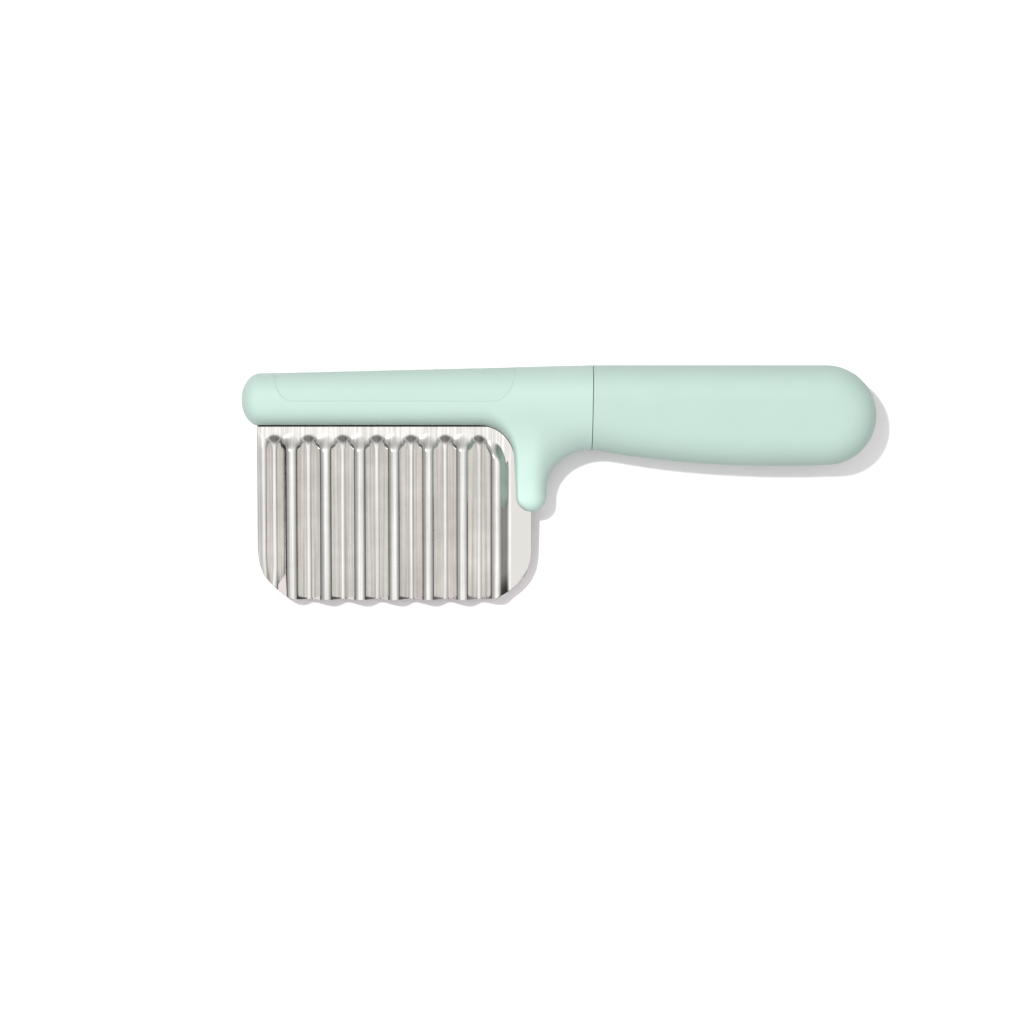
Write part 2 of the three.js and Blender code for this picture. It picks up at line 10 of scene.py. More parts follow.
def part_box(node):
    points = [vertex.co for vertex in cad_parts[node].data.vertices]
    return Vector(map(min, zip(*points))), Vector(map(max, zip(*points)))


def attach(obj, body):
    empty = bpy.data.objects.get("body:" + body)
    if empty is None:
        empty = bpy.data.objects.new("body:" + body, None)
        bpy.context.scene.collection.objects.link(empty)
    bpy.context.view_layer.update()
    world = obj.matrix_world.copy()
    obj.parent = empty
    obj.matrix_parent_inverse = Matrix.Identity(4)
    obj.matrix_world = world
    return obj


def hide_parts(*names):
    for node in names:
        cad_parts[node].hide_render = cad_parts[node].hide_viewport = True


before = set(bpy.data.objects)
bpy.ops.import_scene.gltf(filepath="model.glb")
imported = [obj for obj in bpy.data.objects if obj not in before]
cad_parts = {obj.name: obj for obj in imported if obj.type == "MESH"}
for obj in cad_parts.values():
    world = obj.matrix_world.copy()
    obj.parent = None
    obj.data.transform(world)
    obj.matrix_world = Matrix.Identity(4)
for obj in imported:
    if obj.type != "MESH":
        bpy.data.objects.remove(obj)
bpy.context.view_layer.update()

# Sizes that the frame gives, less small trims. Pieces are drawn on a bench where the seam between body and
# grip is x = 0, the cutting edge is y = 0 and the blade's middle plane is z = 0. BENCH is that point in the
# frame.
sleeve_low, sleeve_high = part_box("grip_sleeve")
shell_low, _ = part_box("front_body_shell")
blade_low, blade_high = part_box("blade")
SEAM_GAP = 0.0003
NOSE_TRIM = 0.0001
GRIP_END_TRIM = 0.0004
GRIP_TOP_TRIM = 0.0002
BLADE_FRONT_TRIM = 0.0002
BENCH = Vector((sleeve_low.x - SEAM_GAP / 2, blade_low.y, (sleeve_low.z + sleeve_high.z) / 2))
body_front = shell_low.x - BENCH.x + NOSE_TRIM
grip_rear = sleeve_high.x - BENCH.x - GRIP_END_TRIM
grip_top = sleeve_high.y - BENCH.y - GRIP_TOP_TRIM
grip_half = (sleeve_high.z - sleeve_low.z) / 2
blade_front = blade_low.x - BENCH.x + BLADE_FRONT_TRIM
flange_top = blade_high.y - BENCH.y

# Outline of body and grip
UNDERSIDE = 0.05084
SPINE_HEIGHT = 0.01526
NOSE_REACH = 0.0054
NECK_DEPTH = 0.0247
GUARD_SETBACK = 0.018
GUARD_RADIUS = 0.00445
GUARD_DROP = 0.02505
GUARD_FLARE = 0.0005
FRONT_FILLET = 0.01005
HOLLOW_REACH = 0.013
HOLLOW_RISE = 0.01106
HOLLOW_END = math.radians(80)
GRIP_END_RADIUS = 0.01448
BELLY_LEAD = 0.022
BELLY_TAIL = 0.023
BELLY_SAG = 0.0009

# Thickness of body and grip
SPINE_HALF = 0.0082
GUARD_HALF = 0.0052
GRIP_FLAT = 0.0084
CREST_RISE = 0.00635
CREST_HALF = 0.0002
GUARD_CREST_HALF = 0.00035
GUARD_RIDGE_LEAD = 0.0031
SIDE_POWER = 0.8
SWELL_START = -0.062
SWELL_END = 0.014

# Walls, gaps and small rounds
BODY_WALL = 0.003
SLEEVE_WALL = 0.003
CORE_INSET = 0.0032
CORE_WALL = 0.002
CORE_FRONT = -0.003
PARTING_GAP = 0.00005
BLADE_GAP = 0.0006
LEDGE = 0.00045
LEDGE_FACING_LOW = 0.45
LEDGE_FACING_HIGH = 0.95
# Heights up to which the painted crevice shade over the blade reaches, and over which it fades out
SHADE_LOW = 0.00095
SHADE_HIGH = 0.0016
# Heights over which the painted light on the front of the guard fades out
GUARD_LIGHT_LOW = 0.04
GUARD_LIGHT_HIGH = 0.0555
SEAM_OPEN = 0.00018
SEAM_LEAN = 0.0175
SEAM_PLACE = Vector((-0.00018, 0.0579, 0))
SEAM_ROUND = 0.00008
SEAM_TURNS = (0, 30, 60, 90)
SEAM_SUPPORTS = (6 * SEAM_ROUND, 2 * SEAM_ROUND)
LIP = 0.0001
PAD_SINK = 0.0002
RIDGE_SINK = 0.25
PAD_THICKNESS = 0.0013
PAD_GAP = 0.00001
PAD_ROUND = 0.00004
BROW = 0.00055
BROW_SHARES = (0, 0.4, 1)
SEAT_GAP = 0.0002
SEAT_DEPTH = PAD_SINK + PAD_THICKNESS + SEAT_GAP

# Border of the press pad
PAD_NOSE_INSET = 0.0096
PAD_REAR = -0.0226
PAD_BORDER = 0.0585
PAD_FRONT_SWEEP = 0.0055
PAD_REAR_SWEEP = 0.0065

# Blade
BLADE_WIDTH = 0.0797
FRONT_CORNER = 0.0131
FRONT_CORNER_RISE = 0.0144
REAR_CORNER = 0.0142
SHEET_HALF = 0.0004
EDGE_THICKNESS = 0.0002
EDGE_SLOPE = 0.00003
CUT_HALF = 0.0003
CUT_ROUND = 0.00025
EDGE_BEVEL = 0.0008
FLUTE_TRIM = 0.00018
FLUTE_PITCH = 0.00995
FLUTE_FRONT = 0.0049
FLUTE_RISE = 0.0018
LAST_PLACE = 13
CREST_ROUND = 0.00195
TROUGH_ROUND = 0.0018
FRONT_RISE = 0.00248
FRONT_ROUND = 0.00097
FRONT_LEAN = math.radians(13)
REAR_SLOPE = math.radians(36)
REAR_FOOT = 0.0017
REAR_SINK = 0.0002
FLUTE_END_MARGIN = 0.0018
FLUTE_END_RUN = 0.0045
CREST_END_RUN = 0.006
END_SOFT = 0.0006
END_BOW = 0.0024
FLUTE_END_CORNER = 0.0095
FLUTE_CORNER_SHARE = 0.95
FLUTE_CORNER_LEAD = 0.0116
TANG_WIDTH = 0.0074
TANG_REACH = 0.04
MARGIN_BLEND = 0.0006
# Painted shade patch behind the first trough at the lower front corner: where it starts, ends and fades
# upwards
SHADE_PATCH_START = (0.0004, 0.0009)
SHADE_PATCH_END = (0.0036, 0.0042)
SHADE_PATCH_TOP = (0.0066, 0.0086)
EDGE_COLUMNS = (0, CUT_ROUND, 0.0004, 0.0007)

# Mesh counts
TURN_STEP = math.radians(6)
RUN_STEP = 0.0012
SIDE_STEPS = 24
WALL_STEPS = 8
FLOOR_STEPS = 8
FLUTE_STEPS = 72
PAD_STEPS = 28
PLAIN_ROWS = 6
END_ROWS = 64
CAP_EDGE = 0.0022
CAP_ROUNDS = 5
CROWDED = FLOOR_STEPS + 2
SAME_POINT = 1e-6
SLOPE_SPAN = 1e-5
SHARP_ANGLE = math.radians(35)

# A vertex is marked where its mark is above this, since a cut or a split leaves marks between 0 and 1.
MARKED = 0.99

# Rounds of search that are plenty for the pad's corner and the flutes' slope, and the slopes searched
CORNER_SEARCH = 8
SLOPE_SEARCH = 40
LEAST_SLOPE = math.radians(20)
MOST_SLOPE = math.radians(70)

# Places that follow
nose = Vector((body_front + NOSE_REACH, UNDERSIDE + SPINE_HEIGHT / 2))
crest_low = UNDERSIDE + CREST_RISE - CREST_HALF
crest_high = crest_low + 2 * CREST_HALF
grip_end = Vector((grip_rear - GRIP_END_RADIUS, grip_top - GRIP_END_RADIUS))
grip_round = GRIP_END_RADIUS - GRIP_FLAT / 2
guard_tip = Vector((-GUARD_SETBACK, UNDERSIDE - GUARD_DROP + GUARD_RADIUS))
guard_ridge = guard_tip - Vector((GUARD_RIDGE_LEAD, 0))
guard_front = guard_tip.x - GUARD_RADIUS - GUARD_FLARE
guard_rear = guard_tip.x + GUARD_RADIUS
front_fillet = Vector((guard_front - FRONT_FILLET, UNDERSIDE - FRONT_FILLET))
hollow = Vector((guard_rear + HOLLOW_REACH, grip_top - NECK_DEPTH - HOLLOW_RISE))
blade_rear = blade_front + BLADE_WIDTH
pad_front = body_front + PAD_NOSE_INSET
flute_depth = blade_high.z - blade_low.z - 2 * SHEET_HALF - FLUTE_TRIM


def mix(low, high, share):
    return low + (high - low) * share


def clamp(value, low=0.0, high=1.0):
    return max(low, min(high, value))


def ease(low, high, value):
    share = clamp((value - low) / (high - low))
    return share * share * (3 - 2 * share)


# Outline: each column of the body's skin pairs a rim point in the parting plane with a crest point on the
# side. Gap is half the opening at the rim. Ridge is how far the rings crowd at the rim, as they do over the
# spine. Seat is where the pad's recess ends, with its outward side.
Column = namedtuple("Column", "rim crest gap ridge seat")


def arc(centre, across, up, start, end):
    steps = math.ceil(abs(end - start) / TURN_STEP)
    angles = [mix(start, end, i / steps) for i in range(steps + 1)]
    return [centre + Vector((across * math.cos(a), up * math.sin(a))) for a in angles]


def run(start, end):
    steps = math.ceil((end - start).length / RUN_STEP)
    return [start.lerp(end, i / steps) for i in range(steps + 1)]


def matched(start, end, other):
    return [start.lerp(end, i / (len(other) - 1)) for i in range(len(other))]


def belly(start, end):
    lead = Vector((start.x + BELLY_LEAD, start.y - BELLY_LEAD / math.tan(HOLLOW_END)))
    tail = Vector((end.x - BELLY_TAIL, end.y - BELLY_SAG))
    steps = math.ceil((end - start).length / RUN_STEP)
    return interpolate_bezier(start, lead, tail, end, steps + 1)


def top_line(x):
    return grip_top - (grip_top - UNDERSIDE - SPINE_HEIGHT) * clamp(x / nose.x)


def top_crest(x):
    return mix(grip_top - grip_round, crest_high, clamp(x / PAD_REAR))


def half_thickness(at):
    handle = mix(SPINE_HALF, grip_half, ease(SWELL_START, SWELL_END, at.x))
    near_guard = ease(front_fillet.x, guard_front, at.x) * (1 - ease(guard_rear, SWELL_END, at.x))
    below_spine = 1 - ease(guard_tip.y, crest_low, at.y)
    return mix(handle, GUARD_HALF, near_guard * below_spine)


def corner(centre_x, across, up, side):
    """The pad border's rounded corner, from the top line down to the long border, with its outward side."""
    turn = 0
    for _ in range(CORNER_SEARCH):
        turn = math.asin((grip_top - top_line(centre_x + side * across * math.cos(turn))) / up)
    steps = math.ceil((math.pi / 2 - turn) / TURN_STEP) * 2
    made = []
    for i in range(steps):
        angle = mix(turn, math.pi / 2, i / steps)
        out = Vector((side * math.cos(angle) / across, -math.sin(angle) / up)).normalized()
        place = Vector((centre_x + side * across * math.cos(angle), grip_top - up * math.sin(angle)))
        made.append((place, out))
    return made


def pad_border(grow):
    """The pad's border from its rear end to its front end, moved outwards by grow."""
    up = grip_top - PAD_BORDER + grow
    rear = corner(PAD_REAR - PAD_REAR_SWEEP, PAD_REAR_SWEEP + grow, up, 1)
    front = corner(pad_front + PAD_FRONT_SWEEP, PAD_FRONT_SWEEP + grow, up, -1)
    start = Vector((PAD_REAR - PAD_REAR_SWEEP, PAD_BORDER - grow))
    fillet = Vector((front_fillet.x, PAD_BORDER - grow))
    end = Vector((pad_front + PAD_FRONT_SWEEP, PAD_BORDER - grow))
    level = [(place, Vector((0, -1))) for place in run(start, fillet)[:-1] + run(fillet, end)]
    return rear + level + front[::-1]


def spine_column(x, ridge, seat):
    return Column(Vector((x, top_line(x))), Vector((x, top_crest(x))), PARTING_GAP, ridge, seat)


def spine_top():
    """Columns along the top of the spine, from the seam to the nose."""
    seats = pad_border(PAD_GAP)
    rear_end = seats[0][0] + seats[0][1] * BROW
    front_end = seats[-1][0] + seats[-1][1] * BROW
    made = [spine_column(place.x, 1, None) for place in run(Vector((0, grip_top)), rear_end)]
    made += [spine_column(place.x, 1, (place, out)) for place, out in seats]
    nose_top = Vector((nose.x, top_line(nose.x)))
    return made + [spine_column(place.x, 1, None) for place in run(front_end, nose_top)[:-1]]


def outline():
    """Columns round the whole tool, anticlockwise from the top of the nose, and the pairs of columns that
    face each other across the spine's narrow crest, from the nose on."""
    level = math.pi / 2
    top = spine_top()
    stations = [column.rim.x for column in reversed(top) if column.rim.x < front_fillet.x - SAME_POINT]
    guard_crest = Vector((GUARD_CREST_HALF, 0))
    hollow_top = grip_top - NECK_DEPTH + grip_round - hollow.y
    hollow_across = hollow.x - guard_ridge.x - GUARD_CREST_HALF
    hollow_rim = arc(hollow, HOLLOW_REACH, HOLLOW_RISE, math.pi, HOLLOW_END)
    hollow_crest = arc(hollow, hollow_across, hollow_top, math.pi, HOLLOW_END)
    fillet_across = guard_ridge.x - GUARD_CREST_HALF - front_fillet.x
    end_bottom = Vector((grip_end.x, grip_end.y - GRIP_END_RADIUS))
    end_crest = Vector((grip_end.x, grip_end.y - GRIP_FLAT / 2))
    spine_rim = [Vector((x, UNDERSIDE)) for x in (nose.x, *stations, front_fillet.x)]
    guard_rim = run(Vector((guard_front, front_fillet.y)), guard_tip - Vector((GUARD_RADIUS, 0)))
    rear_rim = run(Vector((guard_rear, guard_tip.y)), Vector((guard_rear, hollow.y)))
    grip_rim = run(Vector((grip_end.x, grip_top)), Vector((0, grip_top)))
    belly_rim = belly(hollow_rim[-1], end_bottom)
    belly_steps = len(belly_rim)
    belly_crest = interpolate_bezier(
        hollow_crest[-1],
        hollow_crest[-1] + Vector((BELLY_LEAD, -BELLY_LEAD / math.tan(HOLLOW_END))),
        end_crest - Vector((BELLY_TAIL, BELLY_SAG)),
        end_crest,
        belly_steps,
    )
    crest_nose = Vector((nose.x, crest_low + CREST_HALF))
    nose_rim = arc(nose, NOSE_REACH, SPINE_HEIGHT / 2, level, 3 * level)
    guard_base = Vector((guard_ridge.x, front_fillet.y))
    guard_back = Vector((guard_ridge.x, hollow.y))
    stretches = [
        (nose_rim, arc(crest_nose, CREST_HALF, CREST_HALF, level, 3 * level)),
        (spine_rim, [Vector((rim.x, crest_low)) for rim in spine_rim]),
        (arc(front_fillet, FRONT_FILLET, FRONT_FILLET, level, 0),
         arc(front_fillet, fillet_across, crest_low - front_fillet.y, level, 0)),
        (guard_rim, matched(guard_base - guard_crest, guard_ridge - guard_crest, guard_rim)),
        (arc(guard_tip, GUARD_RADIUS, GUARD_RADIUS, math.pi, 2 * math.pi),
         arc(guard_ridge, GUARD_CREST_HALF, GUARD_CREST_HALF, math.pi, 2 * math.pi)),
        (rear_rim, matched(guard_ridge + guard_crest, guard_back + guard_crest, rear_rim)),
        (hollow_rim, hollow_crest),
        (belly_rim, belly_crest),
        (arc(grip_end, GRIP_END_RADIUS, GRIP_END_RADIUS, -level, level),
         arc(grip_end, GRIP_FLAT / 2, GRIP_FLAT / 2, -level, level)),
        (grip_rim, [Vector((rim.x, grip_top - grip_round)) for rim in grip_rim]),
    ]
    columns = []
    for rims, crests in stretches:
        for rim, crest in list(zip(rims, crests))[:-1]:
            clamps_blade = blade_front - BLADE_GAP < rim.x < blade_rear + BLADE_GAP and rim.y < crest_low
            gap = BLADE_GAP if clamps_blade else PARTING_GAP
            ridge = 1 - ease(0, (len(nose_rim) - 1) / 2, len(columns))
            columns.append(Column(rim, crest, gap, ridge, None))
    columns += top
    turned = len(nose_rim) - 1
    facing = [(turned + k, -k % len(columns)) for k in range(len(spine_rim))]
    return columns, facing


columns, facing = outline()


def side_point(column, share, inset, gap):
    """A point of the skin at a share of the quarter turn from rim to crest, drawn in by an inset."""
    angle = share * math.pi / 2
    foot = column.rim + (column.crest - column.rim).normalized() * inset
    at = foot.lerp(column.crest, 1 - math.cos(angle) ** SIDE_POWER)
    height = (half_thickness(at) - inset) * math.sin(angle) ** SIDE_POWER
    return Vector((at.x, at.y, max(height, gap)))


def top_height(at, inset):
    """Height of the skin over a point above the spine's crest, drawn in by an inset."""
    top = top_line(at.x) - inset
    rise = 1 - clamp((top - at.y) / (top - top_crest(at.x)))
    return (half_thickness(at) - inset) * (1 - rise ** (2 / SIDE_POWER)) ** (SIDE_POWER / 2)


def pad_sink(at):
    """How far the pad's face lies below the skin at a point: less towards the ridge of the spine."""
    top = top_line(at.x)
    depth = clamp((top - at.y) / (top - top_crest(at.x)))
    return PAD_SINK * mix(RIDGE_SINK, 1, math.acos(1 - depth) / (math.pi / 2))


def under_spine(column):
    """How far a rim faces along the blade, from 0 to 1, where the blade runs into the spine: it sets the
    ledge there and the painted shade over the blade.
    """
    if column.gap != BLADE_GAP or column.rim.x < blade_front or column.rim.y < front_fillet.y:
        return 0.0
    return ease(LEDGE_FACING_LOW, LEDGE_FACING_HIGH, (column.crest - column.rim).normalized().y)


def plain_points(column):
    """One column of the outer skin: a small lip at the parting line, a low ledge over the blade, then the
    round side."""
    rim, gap = column.rim, column.gap
    inward = (column.crest - rim).normalized()
    ledge = LEDGE * under_spine(column)
    lip = rim + inward * LIP
    points = [Vector((lip.x, lip.y, gap)), Vector((rim.x, rim.y, gap + LIP))]
    for i in range(1, SIDE_STEPS + 1):
        crowded = max(i - CROWDED, 0) / (SIDE_STEPS - CROWDED)
        point = side_point(column, mix(i / SIDE_STEPS, crowded, column.ridge), 0, gap + LIP)
        point.xy = point.xy + inward * max(ledge - (point.xy - rim).length, 0)
        points.append(point)
    return points


def seat_points(column):
    """One column of the outer skin over the pad's recess: floor, wall, sloping brow and the side below."""
    border, out = column.seat
    gap = column.gap
    foot = Vector((border.x, max(column.rim.y - SEAT_DEPTH, border.y)))
    points = []
    for i in range(FLOOR_STEPS + 1):
        at = foot.lerp(border, 1 - math.cos(i / FLOOR_STEPS * math.pi / 2))
        points.append(Vector((at.x, at.y, max(top_height(at, SEAT_DEPTH), gap))))
    for share in BROW_SHARES:
        brow = border + out * BROW * share
        sunk = pad_sink(border) * (1 - share) ** 2
        points.append(Vector((brow.x, brow.y, max(top_height(brow, sunk), gap + LIP * share))))
    steps = SIDE_STEPS + 2 - len(points)
    down = clamp((top_line(brow.x) - brow.y) / (top_line(brow.x) - top_crest(brow.x)))
    start = math.acos(1 - down)
    for i in range(1, steps + 1):
        now = 1 - math.cos(mix(start, math.pi / 2, i / steps))
        at = brow.lerp(column.crest, (now - down) / (1 - down))
        points.append(Vector((at.x, at.y, max(top_height(at, 0), gap + LIP))))
    return points


def outer_points(column):
    return seat_points(column) if column.seat else plain_points(column)


# Mesh helpers
def trace(bm, points):
    """Draws a chain of edges by pulling one vertex from point to point."""
    pen = bmesh.ops.create_vert(bm, co=points[0])["vert"][0]
    chain = [pen]
    for point in points[1:]:
        pen = bmesh.ops.extrude_vert_indiv(bm, verts=[pen])["verts"][0]
        pen.co = point
        chain.append(pen)
    return chain


def loft(bm, rows, closed):
    """Pulls a chain of edges through rows of points, and returns the chain at each row."""
    chain = trace(bm, rows[0])
    if closed:
        bmesh.ops.contextual_create(bm, geom=[chain[-1], chain[0]])
    chains = [chain]
    for row in rows[1:]:
        made = bmesh.ops.extrude_edge_only(bm, edges=edges_of(bm, chain, closed))["geom"]
        fresh = {v for v in made if isinstance(v, bmesh.types.BMVert)}
        chain = [next(v for v in (e.other_vert(old) for e in old.link_edges) if v in fresh) for old in chain]
        for vert, point in zip(chain, row):
            vert.co = point
        chains.append(chain)
    return chains


def edges_of(bm, chain, closed):
    pairs = list(zip(chain, chain[1:] + chain[:1]))
    return [bm.edges.get(pair) for pair in (pairs if closed else pairs[:-1])]


def cap(bm, chain, inset):
    """Closes a skin over its crest: a strip of faces along the spine, then a flat fill for dome_caps."""
    mark = bm.verts.layers.float["cap"]
    drawn_in = bm.verts.layers.float["drawn_in"]
    for vert in chain:
        vert[mark] = 1
        vert[drawn_in] = inset
    bmesh.ops.contextual_create(bm, geom=chain[:facing[0][0] + 1])
    for (low, high), (next_low, next_high) in zip(facing, facing[1:]):
        bmesh.ops.contextual_create(bm, geom=[chain[low], chain[next_low], chain[next_high], chain[high]])
    low, high = facing[-1]
    rest = edges_of(bm, chain[low:high + 1], True)
    bmesh.ops.triangle_fill(bm, use_beauty=True, edges=rest, normal=(0, 0, 1))


def cap_faces(bm):
    mark = bm.verts.layers.float["cap"]
    behind = [f for f in bm.faces if max(v.co.x for v in f.verts) > front_fillet.x + SAME_POINT]
    return [f for f in behind if all(v[mark] > MARKED for v in f.verts)]


def dome_caps(bm):
    """Refines the fills and raises them to the tool's thickness."""
    mark = bm.verts.layers.float["cap"]
    drawn_in = bm.verts.layers.float["drawn_in"]
    painted_guard_light = bm.verts.layers.float["painted_guard_light"]
    for _ in range(CAP_ROUNDS):
        capped = cap_faces(bm)
        counted = {}
        for face in capped:
            for edge in face.edges:
                counted[edge] = counted.get(edge, 0) + 1
        long = [e for e, count in counted.items() if count == 2 and e.calc_length() > CAP_EDGE]
        bmesh.ops.subdivide_edges(bm, edges=long, cuts=1)
        split = bmesh.ops.triangulate(bm, faces=cap_faces(bm))
        bmesh.ops.beautify_fill(bm, faces=split["faces"], edges=split["edges"])
    for vert in bm.verts:
        if vert[mark] > MARKED:
            vert.co.z = half_thickness(vert.co) - vert[drawn_in]
            # Painted light on the front of the guard is marked on the caps too.
            vert[painted_guard_light] = guard_light_share(vert.co)


def new_mesh():
    bm = bmesh.new()
    bm.verts.layers.float.new("cap")
    bm.verts.layers.float.new("drawn_in")
    bm.verts.layers.float.new("outside")
    # The last two layers mark painted shade in the crevice over the blade and painted light on the front of
    # the guard.
    bm.verts.layers.float.new("painted_crevice_shade")
    bm.verts.layers.float.new("painted_guard_light")
    return bm


def cut_at_seam(bm, side):
    """Cuts the form at the seam, which leans a little, keeps the part on one side of it and rounds the cut's
    outer edge."""
    outside = bm.verts.layers.float["outside"]
    inward = Vector((1, -SEAM_LEAN, 0)).normalized() * side
    face = SEAM_PLACE + inward * SEAM_OPEN / 2
    turns = [SEAM_ROUND * (1 - math.sin(math.radians(angle))) for angle in SEAM_TURNS]
    for back in [*SEAM_SUPPORTS, *turns]:
        bmesh.ops.bisect_plane(
            bm,
            geom=bm.verts[:] + bm.edges[:] + bm.faces[:],
            dist=SAME_POINT / 10,
            plane_co=face + inward * back,
            plane_no=-inward,
            clear_outer=back == turns[-1],
        )
    bm.normal_update()
    for vert in bm.verts:
        back = abs((vert.co - face).dot(inward))
        if vert[outside] > MARKED and back < SEAM_ROUND:
            turn = math.asin(clamp(1 - back / SEAM_ROUND))
            vert.co -= vert.normal * SEAM_ROUND * (1 - math.cos(turn))


def finish_piece(bm, name, finish, node):
    """Cleans the mesh, puts it in the frame's place and makes it a piece that stands for a node."""
    bmesh.ops.remove_doubles(bm, verts=bm.verts[:], dist=SAME_POINT)
    bmesh.ops.dissolve_degenerate(bm, dist=SAME_POINT, edges=bm.edges[:])
    bmesh.ops.recalc_face_normals(bm, faces=bm.faces[:])
    bmesh.ops.translate(bm, verts=bm.verts[:], vec=BENCH)
    for face in bm.faces:
        face.smooth = True
    mesh = bpy.data.meshes.new(name)
    bm.to_mesh(mesh)
    bm.free()
    mesh.validate()
    mesh.set_sharp_from_angle(angle=SHARP_ANGLE)
    piece = bpy.data.objects.new(name, mesh)
    bpy.context.scene.collection.objects.link(piece)
    mesh.materials.append(finish)
    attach(piece, "root")
    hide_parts(node)
    return piece


# Pieces
def guard_light_share(at):
    """Painted light, from 0 to 1: how much paler the moulding is painted, most at the front of the guard."""
    across = ease(front_fillet.x, guard_front, at.x) * (1 - ease(guard_tip.x, guard_rear, at.x))
    return across * (1 - ease(GUARD_LIGHT_LOW, GUARD_LIGHT_HIGH, at.y))


def shell_walls(bm, columns, outer, wall):
    """A half-shell's closed wall: from the inner crest down to the parting face and up the outer skin."""
    outside = bm.verts.layers.float["outside"]
    painted_crevice_shade = bm.verts.layers.float["painted_crevice_shade"]
    painted_guard_light = bm.verts.layers.float["painted_guard_light"]
    inner = []
    for column in columns:
        shares = [1 - i / WALL_STEPS for i in range(WALL_STEPS + 1)]
        inner.append([side_point(column, share, wall, column.gap) for share in shares])
    points = [low + high for low, high in zip(inner, outer)]
    chains = loft(bm, list(zip(*points)), True)
    for chain in chains[WALL_STEPS + 1:]:
        for vert, column in zip(chain, columns):
            vert[outside] = 1
            # Painted light: the front of the guard is marked to be painted paler.
            vert[painted_guard_light] = guard_light_share(vert.co)
            # Painted shade: the low ledge and the foot of the wall over the blade are marked to be painted
            # near-black, a dark line where the blade runs into the spine.
            vert[painted_crevice_shade] = under_spine(column) * (1 - ease(SHADE_LOW, SHADE_HIGH, vert.co.z))
    cap(bm, chains[0], wall)
    return chains[-1]


def half_shell(columns, side):
    """Half the spine, neck and guard with the pad's recess, and half the handle core under the sleeve."""
    bm = new_mesh()
    crest = shell_walls(bm, columns, [outer_points(column) for column in columns], BODY_WALL)
    cap(bm, crest, 0)
    dome_caps(bm)
    bmesh.ops.recalc_face_normals(bm, faces=bm.faces[:])
    cut_at_seam(bm, -1)
    close_cut(bm)

    core = new_mesh()
    shares = [i / WALL_STEPS for i in range(WALL_STEPS + 1)]
    skin = [[side_point(column, share, CORE_INSET, column.gap) for share in shares] for column in columns]
    crest = shell_walls(core, columns, skin, CORE_INSET + CORE_WALL)
    cap(core, crest, CORE_INSET)
    dome_caps(core)
    bmesh.ops.bisect_plane(
        core,
        geom=core.verts[:] + core.edges[:] + core.faces[:],
        dist=SAME_POINT / 10,
        plane_co=(CORE_FRONT, 0, 0),
        plane_no=(-1, 0, 0),
        clear_outer=True,
    )
    close_cut(core)
    spare = bpy.data.meshes.new("core")
    core.to_mesh(spare)
    core.free()
    bm.from_mesh(spare)
    bpy.data.meshes.remove(spare)
    bmesh.ops.scale(bm, verts=bm.verts[:], vec=(1, 1, side))
    return bm


def close_cut(bm):
    open_edges = [edge for edge in bm.edges if edge.is_boundary]
    bmesh.ops.contextual_create(bm, geom=open_edges)


def grip_sleeve(columns):
    """The soft sleeve: an outer and an inner skin, mirrored about the parting plane and joined at the
    seam."""
    bm = new_mesh()
    outside = bm.verts.layers.float["outside"]
    for inset in (0, SLEEVE_WALL):
        shares = [i / SIDE_STEPS for i in range(SIDE_STEPS + 1)]
        points = [[side_point(column, share, inset, 0) for column in columns] for share in shares]
        chains = loft(bm, points, True)
        if inset == 0:
            for chain in chains:
                for vert in chain:
                    vert[outside] = 1
        cap(bm, chains[-1], inset)
    dome_caps(bm)
    whole = bm.verts[:] + bm.edges[:] + bm.faces[:]
    bmesh.ops.mirror(bm, geom=whole, matrix=Matrix.Identity(4), merge_dist=SAME_POINT, axis="Z")
    bmesh.ops.recalc_face_normals(bm, faces=bm.faces[:])
    cut_at_seam(bm, 1)
    bmesh.ops.bridge_loops(bm, edges=[edge for edge in bm.edges if edge.is_boundary])
    return bm


def press_pad():
    """The soft saddle pad over the spine: an outer and an inner skin from border to border."""
    bm = bmesh.new()
    shares = [mix(-1, 1, i / PAD_STEPS) for i in range(PAD_STEPS + 1)]

    def around(border, share, inset):
        top = top_line(border.x) - inset
        low = min(border.y, top)
        depth = clamp((top - low) / (top - top_crest(border.x)))
        turn = math.acos(1 - depth) * abs(share)
        return Vector((border.x, top - (top - top_crest(border.x)) * (1 - math.cos(turn))))

    def skin_point(border, share, below):
        inset = pad_sink(around(border, share, 0)) + below
        at = around(border, share, inset)
        return Vector((at.x, at.y, math.copysign(top_height(at, inset), share)))

    def row(share, below, draw):
        return [skin_point(place - out * draw, share, below) for place, out in border]

    border = pad_border(0)
    rows = [row(-1, PAD_ROUND, 0)]
    rows += [row(share, 0, PAD_ROUND if abs(share) == 1 else 0) for share in shares]
    rows.append(row(1, PAD_ROUND, 0))
    rows += [row(share, PAD_THICKNESS, 0) for share in reversed(shares)]
    chains = loft(bm, rows, False)
    ends = edges_of(bm, chains[0], False) + edges_of(bm, chains[-1], False)
    bmesh.ops.bridge_loops(bm, edges=ends)
    return bm


# Blade
half_pitch = FLUTE_PITCH / 2
flute_drop = flute_depth - FLUTE_RISE
first_trough = blade_front + FLUTE_FRONT
last_crest = first_trough + LAST_PLACE * half_pitch
corner_start = guard_front - FLUTE_CORNER_LEAD


def flank_reach(slope, fall, top_round, foot_round):
    """How far a flank runs: a round top, a straight slope and a round foot."""
    rounds = top_round + foot_round
    return rounds * math.sin(slope) + (fall - rounds * (1 - math.cos(slope))) / math.tan(slope)


def flank_slope():
    """The slope at which a flank runs from a crest to the next trough in half a pitch."""
    low, high = LEAST_SLOPE, MOST_SLOPE
    for _ in range(SLOPE_SEARCH):
        middle = (low + high) / 2
        if flank_reach(middle, flute_depth, CREST_ROUND, TROUGH_ROUND) > half_pitch:
            low = middle
        else:
            high = middle
    return low


